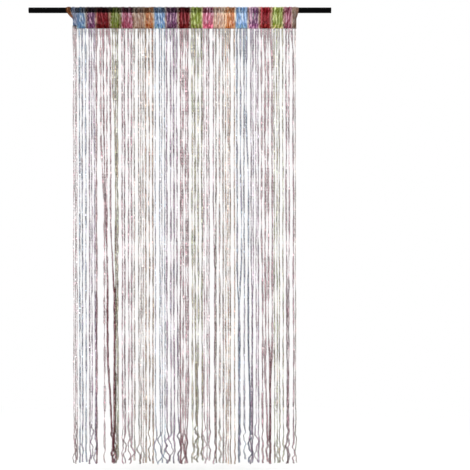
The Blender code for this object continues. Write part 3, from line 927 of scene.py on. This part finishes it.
netFinish = {
    "roughness": 0.55,
    "shades": (0.45, 1.3),      # dark and light runs, against the net's own colour
    "stitch": 0.0026,           # length of its two crossing waves
    "holes": (0.05, 0.45),      # where in the waves a hole begins and is whole
    "holeCover": 0.6,
    "ladders": (260.0, 0.0, 26.0),
    "ladderFrom": 0.38, "ladderWithCover": 0.22, "ladderRun": 0.08, "ladderCover": 0.35,
    "openOverRod": 0.65, "closedToRight": 0.5,      # more open over the rod, less so to the right
    "bumpStrength": 0.4, "bumpHeight": 0.0003,
}


def netCover(tree, net, cover, overBlack):
    # how much of the net is closed: holes between stitches, ladders where it is drawn open, at the
    # same place in both layers
    look = netFinish
    holes = addNode(tree, "ShaderNodeMapRange", {}, {
        "Value": net, "From Min": look["holes"][0], "From Max": look["holes"][1],
        "To Min": 1.0, "To Max": look["holeCover"]})
    if not overBlack:
        return holes
    ladderFrom = look["ladderFrom"] + look["ladderWithCover"] * cover
    closed = addNode(tree, "ShaderNodeMapRange", {}, {
        "Value": spots(tree, look["ladders"]),
        "From Min": ladderFrom, "From Max": ladderFrom + look["ladderRun"],
        "To Min": 1.0, "To Max": 1.0 if cover >= 1.0 else look["ladderCover"]})
    openShare = look["openOverRod"] - alongRod(tree) * look["closedToRight"]
    return holes * closed * (1.0 - overRod(tree) * openShare)


def netMaterial(name, colour):
    # fine net of thin thread, with small holes between the stitches
    look = netFinish
    body = palette[colour]["gap"]
    plain = colour == "flare"   # hangs beside the bands
    material, tree, shader = newMaterial(name, Roughness=look["roughness"], Specular_IOR_Level=0.03)
    dark, light = (tuple(shade * part for part in body) for shade in look["shades"])
    tone = mixColour(tree, streaksOf(tree), dark, light)
    if not plain:
        tone = addBorder(tree, tone)
    feed(tree, withLightnessAndRodShade(tree, tone), shader, "Base Color")
    # stitches on the cloth's own map, two crossing waves
    u, v = alongAxis(tree, placeOf(tree, "UV"), "X"), alongAxis(tree, placeOf(tree, "UV"), "Y")
    rate = math.tau / look["stitch"]
    rising = addNode(tree, "ShaderNodeMath", {"operation": "SINE"}, {0: (u + v) * rate})
    falling = addNode(tree, "ShaderNodeMath", {"operation": "SINE"}, {0: (u - v) * rate})
    net = rising * falling
    feed(tree, netCover(tree, net, palette[colour]["cover"], not plain), shader, "Alpha")
    feedBump(tree, net, shader, look["bumpStrength"], look["bumpHeight"])
    return material


def makeHeadingCloth(names, materials):
    y, z, side, along = headingLoop(heading["bottom"] / -heading["wallSteps"], heading["bottom"])
    hemHeight, hemWidth = heading["flareHem"]
    columns = round(curtainWidth / heading["columnStep"])
    places = sorted(set([curtainWidth * number / columns for number in range(columns + 1)] + bandEdges))
    count = len(y)
    corners, maps, lightnesses = [], [], []
    for across in places:
        wave = math.cos(math.tau * (across - strands["firstRoot"]) / strands["rootPitch"])
        outward = heading["relief"] * wave - heading["clothSunk"]
        corners.append(placeOnHeading(np.full(count, across), y, z, side, outward))
        maps.append(np.stack([np.full(count, across), along], axis=1))
        lightnesses.append(lightnessWithRodShadeAt(bandAt(across), z))
    faces, finishes = [], []
    for number in range(len(places) - 1):
        band = bandAt((places[number] + places[number + 1]) / 2.0)
        for row in range(count - 1):
            a, b = number * count + row, (number + 1) * count + row
            faces.append([a, b, b + 1, a + 1])
            onHem = band == 0 and places[number] < hemWidth and z[row] > hemHeight
            finishes.append(names.index("flare" if onHem else bands[band]["colour"]))
    item = makeObject("heading_cloth", np.concatenate(corners), faces, finishes, materials, {
        "lightness": np.concatenate(lightnesses),
        "border": np.repeat(nearBorder(places), count)})
    # map of the flat cloth, in metres
    layer = item.data.uv_layers.new(name="cloth")
    corner = np.zeros(len(item.data.loops), np.int32)
    item.data.loops.foreach_get("vertex_index", corner)
    layer.data.foreach_set("uv", np.concatenate(maps)[corner].astype(np.float32).ravel())
    return item, along[-1]


def runsOf(mask):
    # slices of the unbroken runs of three or more in a row
    edges = np.flatnonzero(np.diff(np.concatenate([[0], mask.astype(int), [0]])))
    return [slice(begin, end) for begin, end in zip(edges[0::2], edges[1::2]) if end - begin > 2]


def addRib(knit, number, row, names, loop, rng):
    # three yarns that wind along one line of the knit, from the lower edge over the rod to the back
    y, z, side, along = loop
    bottom = heading["bottom"]
    sideways = np.stack([np.ones(len(y)), np.zeros(len(y)), np.zeros(len(y))], axis=1)
    rise = smoothStep((z - bottom) / -bottom)
    lean = rng.uniform(-1.0, 1.0) * heading["lean"]
    backLean = rng.uniform(-1.0, 1.0) * heading["lean"]
    shade = heading["ribTone"] + heading["everySecond"] * (number % 2)
    shade = shade + rng.uniform(*heading["ribToneUneven"])
    # paler in the middle of the wall: painted light, as if lit through the cloth from behind
    shade = shade + heading["middleBacklight"] * np.sin(math.pi * np.clip((z - bottom) / -bottom, 0.0, 1.0))
    footShade = smoothStep((heading["footShade"] - z) / heading["footShadeRun"])
    shade = shade - heading["footDarker"] * footShade
    start = rng.uniform(0.0, math.tau)
    lightness = lightnessWithRodShadeAt(row["band"], z)
    bow = rng.uniform(-1.0, 1.0) * heading["bow"] * np.sin(math.pi * np.clip(z / bottom, 0.0, 1.0))
    onBack = smoothStep(side * 0.5 + 0.5)
    middle = row["root"] + bow + lean * rise + (backLean - lean) * onBack * (1.0 - rise)
    shown = z > (heading["edgeRibFoot"] if row["band"] == 0 else -math.inf)
    flared = shown & (z > heading["flareFoot"]) & (number == 0)
    parts = (
        (flared, "flare", np.maximum(lightness, heading["flareLightness"])),
        (shown & ~flared, bands[row["band"]]["colour"], lightness),
    )
    radius = heading["ribRadius"] * rng.uniform(*heading["ribUneven"])
    for yarn in range(heading["ribYarns"]):
        phase = math.tau * along / heading["ribPeriod"] + start + math.tau * yarn / heading["ribYarns"]
        across = np.clip(middle + heading["ribSwing"] * np.sin(phase),
                         heading["sideClear"], curtainWidth - heading["sideClear"])
        lift = heading["ribWave"] * np.sin(2.0 * phase) + heading["ribLift"]
        lift = lift + heading["ribLiftEdge"] * (z < bottom)
        path = placeOnHeading(across, y, z, side, lift)
        fore = foreOf(sideways, np.gradient(path, axis=0))
        tone = np.clip(shade + rng.uniform(-heading["yarnTone"], heading["yarnTone"]), 0.0, 1.0)
        for part, colour, pale in parts:
            for run in runsOf(part):
                addYarn(knit, path[run], sideways[run], fore[run], radius, names.index(colour),
                        np.repeat(tone[run], yarnSides), np.repeat(pale[run], yarnSides))


def addLink(knit, row, nextRow, names, loop, rng):
    # thin thread that swings between two neighbouring ribs, thick and natural where bands meet
    y, z, side, along = loop
    sideways = np.stack([np.ones(len(y)), np.zeros(len(y)), np.zeros(len(y))], axis=1)
    border = row["band"] not in (0, nextRow["band"])
    colour = "beige" if border else bands[row["band"]]["colour"]
    thread = heading["borderLink" if border else "link"]
    phase = math.tau * along / heading["linkPeriod"] + rng.uniform(0.0, math.tau)
    across = (row["root"] + nextRow["root"]) / 2.0 + thread["swing"] * np.sin(phase)
    path = placeOnHeading(across, y, z, side, np.full(len(y), heading["linkLift"]))
    fore = foreOf(sideways, np.gradient(path, axis=0))
    addYarn(knit, path, sideways, fore, thread["radius"], names.index(colour), thread["tone"],
            np.repeat(lightnessWithRodShadeAt(row["band"], z), yarnSides))


def makeHeadingYarns(names, materials, rows):
    rng = random.Random(heading["seed"])
    knit = Knit()
    loop = headingLoop(heading["ribStep"], heading["ribFoot"])
    for number, row in enumerate(rows):
        addRib(knit, number, row, names, loop, rng)
    for row, nextRow in zip(rows[2:], rows[3:]):
        addLink(knit, row, nextRow, names, loop, rng)
    return knit, knit.toObject("heading_yarns", materials)


# Rod

rodFinish = {
    "black": (0.0005, 0.0005, 0.0006),
    "worn": (0.0014, 0.0014, 0.0016),
    "cloud": (9.0, 60.0, 60.0),
    "roughness": 0.30, "rougher": 0.16,
    "grain": (400.0, 1800.0, 1800.0), "grainStrength": 0.15, "grainHeight": 0.0001,
}


def rodMaterial():
    look = rodFinish
    material, tree, shader = newMaterial("satin_black_paint", Specular_IOR_Level=0.02)
    cloud = spots(tree, look["cloud"], 4.0)
    feed(tree, mixColour(tree, cloud, look["black"], look["worn"]), shader, "Base Color")
    feed(tree, look["roughness"] + cloud * look["rougher"], shader, "Roughness")
    feedBump(tree, spots(tree, look["grain"]), shader, look["grainStrength"], look["grainHeight"])
    return material


# Studio

studio = {
    "floorGap": 0.050,          # strand ends to the floor
    "floorRadius": 3.0, "floorSides": 96,
    "plainRadius": 0.9, "whiteFrom": 0.96,  # fades into the room from here to this share of its radius
    "floorColour": (0.80, 0.80, 0.795),
    "floorCloud": 1.02, "cloud": (3.0, 3.0, 3.0),
    "floorLift": (0.10, 0.10, 0.10),        # light from round about that the world does not give
    "worldStrength": 1.0,
    "aim": (0.7077, 0.0, -0.8),             # point that the lights face
    "lights": [                 # name, place, size, power
        ("key", (-1.4, -3.4, 1.4), 2.0, 45.0),
        ("fill", (3.4, -3.0, 0.2), 2.0, 20.0),
        ("top", (0.7, -0.4, 2.4), 2.0, 40.0),
    ],
}
camera = {
    "distance": 7.0,
    "middle": (0.9077, -0.9887),    # x and z at the middle of the picture
    "pictureWidth": 2.068,          # metres across the picture at the curtain
    "sensorWidth": 36.0,            # millimetres
}


def makeFloor():
    # round pale floor that fades into the white of the room towards its rim
    radius, sides = studio["floorRadius"], studio["floorSides"]
    angles = [math.tau * corner / sides for corner in range(sides)]
    rim = [(radius * math.cos(angle), radius * math.sin(angle), 0.0) for angle in angles]
    mesh = bpy.data.meshes.new("floor")
    mesh.from_pydata(rim, [], [list(range(sides))])
    floor = bpy.data.objects.new("floor", mesh)
    floor.location = ((cadBox[0][0] + cadBox[1][0]) / 2.0, 0.0, cadBox[0][2] - studio["floorGap"])
    bpy.context.scene.collection.objects.link(floor)
    material, tree, shader = newMaterial(
        "pale_floor", Roughness=0.8, Specular_IOR_Level=0.0, Emission_Strength=1.0)
    reach = addNode(tree, "ShaderNodeVectorMath", {"operation": "LENGTH"}, {0: placeOf(tree)}, output="Value")
    fade = addNode(tree, "ShaderNodeMapRange", {"interpolation_type": "SMOOTHSTEP"}, {
        "Value": reach, "From Min": studio["plainRadius"], "From Max": radius * studio["whiteFrom"]})
    lighter = tuple(studio["floorCloud"] * part for part in studio["floorColour"])
    pale = mixColour(tree, spots(tree, studio["cloud"], 3.0), studio["floorColour"], lighter)
    feed(tree, mixColour(tree, fade, pale, (0.0, 0.0, 0.0)), shader, "Base Color")
    feed(tree, mixColour(tree, fade, studio["floorLift"], (1.0, 1.0, 1.0)), shader, "Emission Color")
    mesh.materials.append(material)


def makeLights():
    world = bpy.data.worlds.new("studio")
    bpy.context.scene.world = world
    world.use_nodes = True
    sky = world.node_tree.nodes["Background"]
    sky.inputs["Color"].default_value = (1.0, 1.0, 1.0, 1.0)
    sky.inputs["Strength"].default_value = studio["worldStrength"]
    for name, place, size, power in studio["lights"]:
        lamp = bpy.data.lights.new(name, "AREA")
        lamp.shape = "SQUARE"
        lamp.size = size
        lamp.energy = power
        item = bpy.data.objects.new(name, lamp)
        item.location = place
        item.rotation_mode = "QUATERNION"
        item.rotation_quaternion = (Vector(studio["aim"]) - Vector(place)).to_track_quat("-Z", "Y")
        bpy.context.scene.collection.objects.link(item)


def makeCamera():
    # level, square to the curtain
    lens = bpy.data.cameras.new("camera")
    lens.sensor_width = camera["sensorWidth"]
    lens.lens = camera["sensorWidth"] * camera["distance"] / camera["pictureWidth"]
    viewer = bpy.data.objects.new("camera", lens)
    viewer.location = (camera["middle"][0], -camera["distance"], camera["middle"][1])
    viewer.rotation_euler = (math.radians(90.0), 0.0, 0.0)
    bpy.context.scene.collection.objects.link(viewer)
    bpy.context.scene.camera = viewer
    bpy.context.scene.view_settings.view_transform = "Standard"


# Making of the curtain

makeFloor()
makeLights()
makeCamera()
print("studio ready")

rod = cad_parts["rod"]
rod.data.materials.clear()
rod.data.materials.append(rodMaterial())
print("rod finished")

rows = strandRows()
nodes = nodeNames()
strandColours = [colour for colour in palette if "strand" in palette[colour]]
fringe = []
total = 0
for seedStep, colour in enumerate(strandColours):
    rng = random.Random(curtain["fineSeed"] + seedStep)
    knit = Knit()
    ofColour = [number for number, band in enumerate(bands) if band["colour"] == colour]
    for number in ofColour:
        knit.lightness = bands[number]["edgeLightness"]
        addLowerEdge(knit, number, rng)
        for row in rows:
            if row["band"] == number:
                addStrand(knit, row, rng)
    edgeShades = palette[colour]["edge"]
    finishes = [yarnMaterial(colour), sequinMaterial(colour), knitMaterial("edge_" + colour, edgeShades),
                knitMaterial("edge_core_" + colour, edgeShades, lowerEdge["coreShade"])]
    piece = knit.toObject("strands_and_edge_" + colour, finishes)
    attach(piece, "root")
    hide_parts(*[nodes[number] for number in ofColour])
    fringe.append(piece)
    total += knit.triangles()
    print("strands", colour, knit.triangles())

names = list(palette)
cloth, loopLength = makeHeadingCloth(names, [netMaterial("sheer_" + name, name) for name in names])
ribFinishes = [knitMaterial("rib_" + name, palette[name]["rib"]) for name in names]
knit, yarns = makeHeadingYarns(names, ribFinishes, rows)
total += knit.triangles() + 2 * len(cloth.data.polygons)
print("heading", 2 * len(cloth.data.polygons), knit.triangles(), "loop", loopLength)
for piece in (cloth, yarns):
    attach(piece, "root")
    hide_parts("heading")
[yarns] + fringe
print("triangles in all", total)
